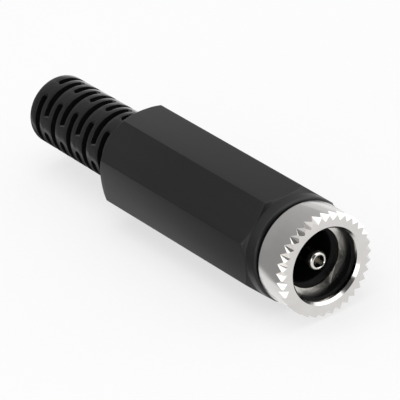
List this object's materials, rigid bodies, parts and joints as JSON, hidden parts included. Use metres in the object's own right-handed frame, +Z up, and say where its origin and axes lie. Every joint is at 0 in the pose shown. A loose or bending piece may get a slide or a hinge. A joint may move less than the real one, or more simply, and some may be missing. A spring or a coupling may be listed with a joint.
{
  "type": "in-line barrel power jack",
  "caption": "In-line low-voltage power jack for a 5.5 by 2.1 mm barrel plug: toothed metal nose, centre pin, octagonal screw-on grip and slotted strain relief for a cable.",
  "frame": {"origin": "centre of the mouth on the mating face", "axes": "+X along the jack's axis out of the mouth, +Z up with the part lying on one flat of its grip"},
  "size_m": [0.048, 0.0114, 0.0114],
  "materials": {
    "shell_plastic": "black moulding, fine satin on the grip, glossy on the strain relief",
    "nickel_plated_brass": "bright nickel plate on turned brass",
    "insulator_plastic": "black moulding",
    "plated_spring_sheet": "nickel plate on bronze sheet",
    "plated_pin": "bright nickel plate on turned brass",
    "tinned_tag": "tinned brass sheet"
  },
  "bodies": {
    "socket": {"nose_barrel": "nickel_plated_brass", "socket_insulator": "insulator_plastic", "sleeve_contact": "plated_spring_sheet", "centre_pin": "plated_pin", "pin_tag": "tinned_tag", "sleeve_tag": "tinned_tag"},
    "grip": {"shell": "shell_plastic"}
  },
  "joints": [
    {"name": "shell_off", "type": "slide", "parent": "socket", "child": "grip", "axis": [-1, 0, 0], "range_m": [0, 0.024]}
  ]
}
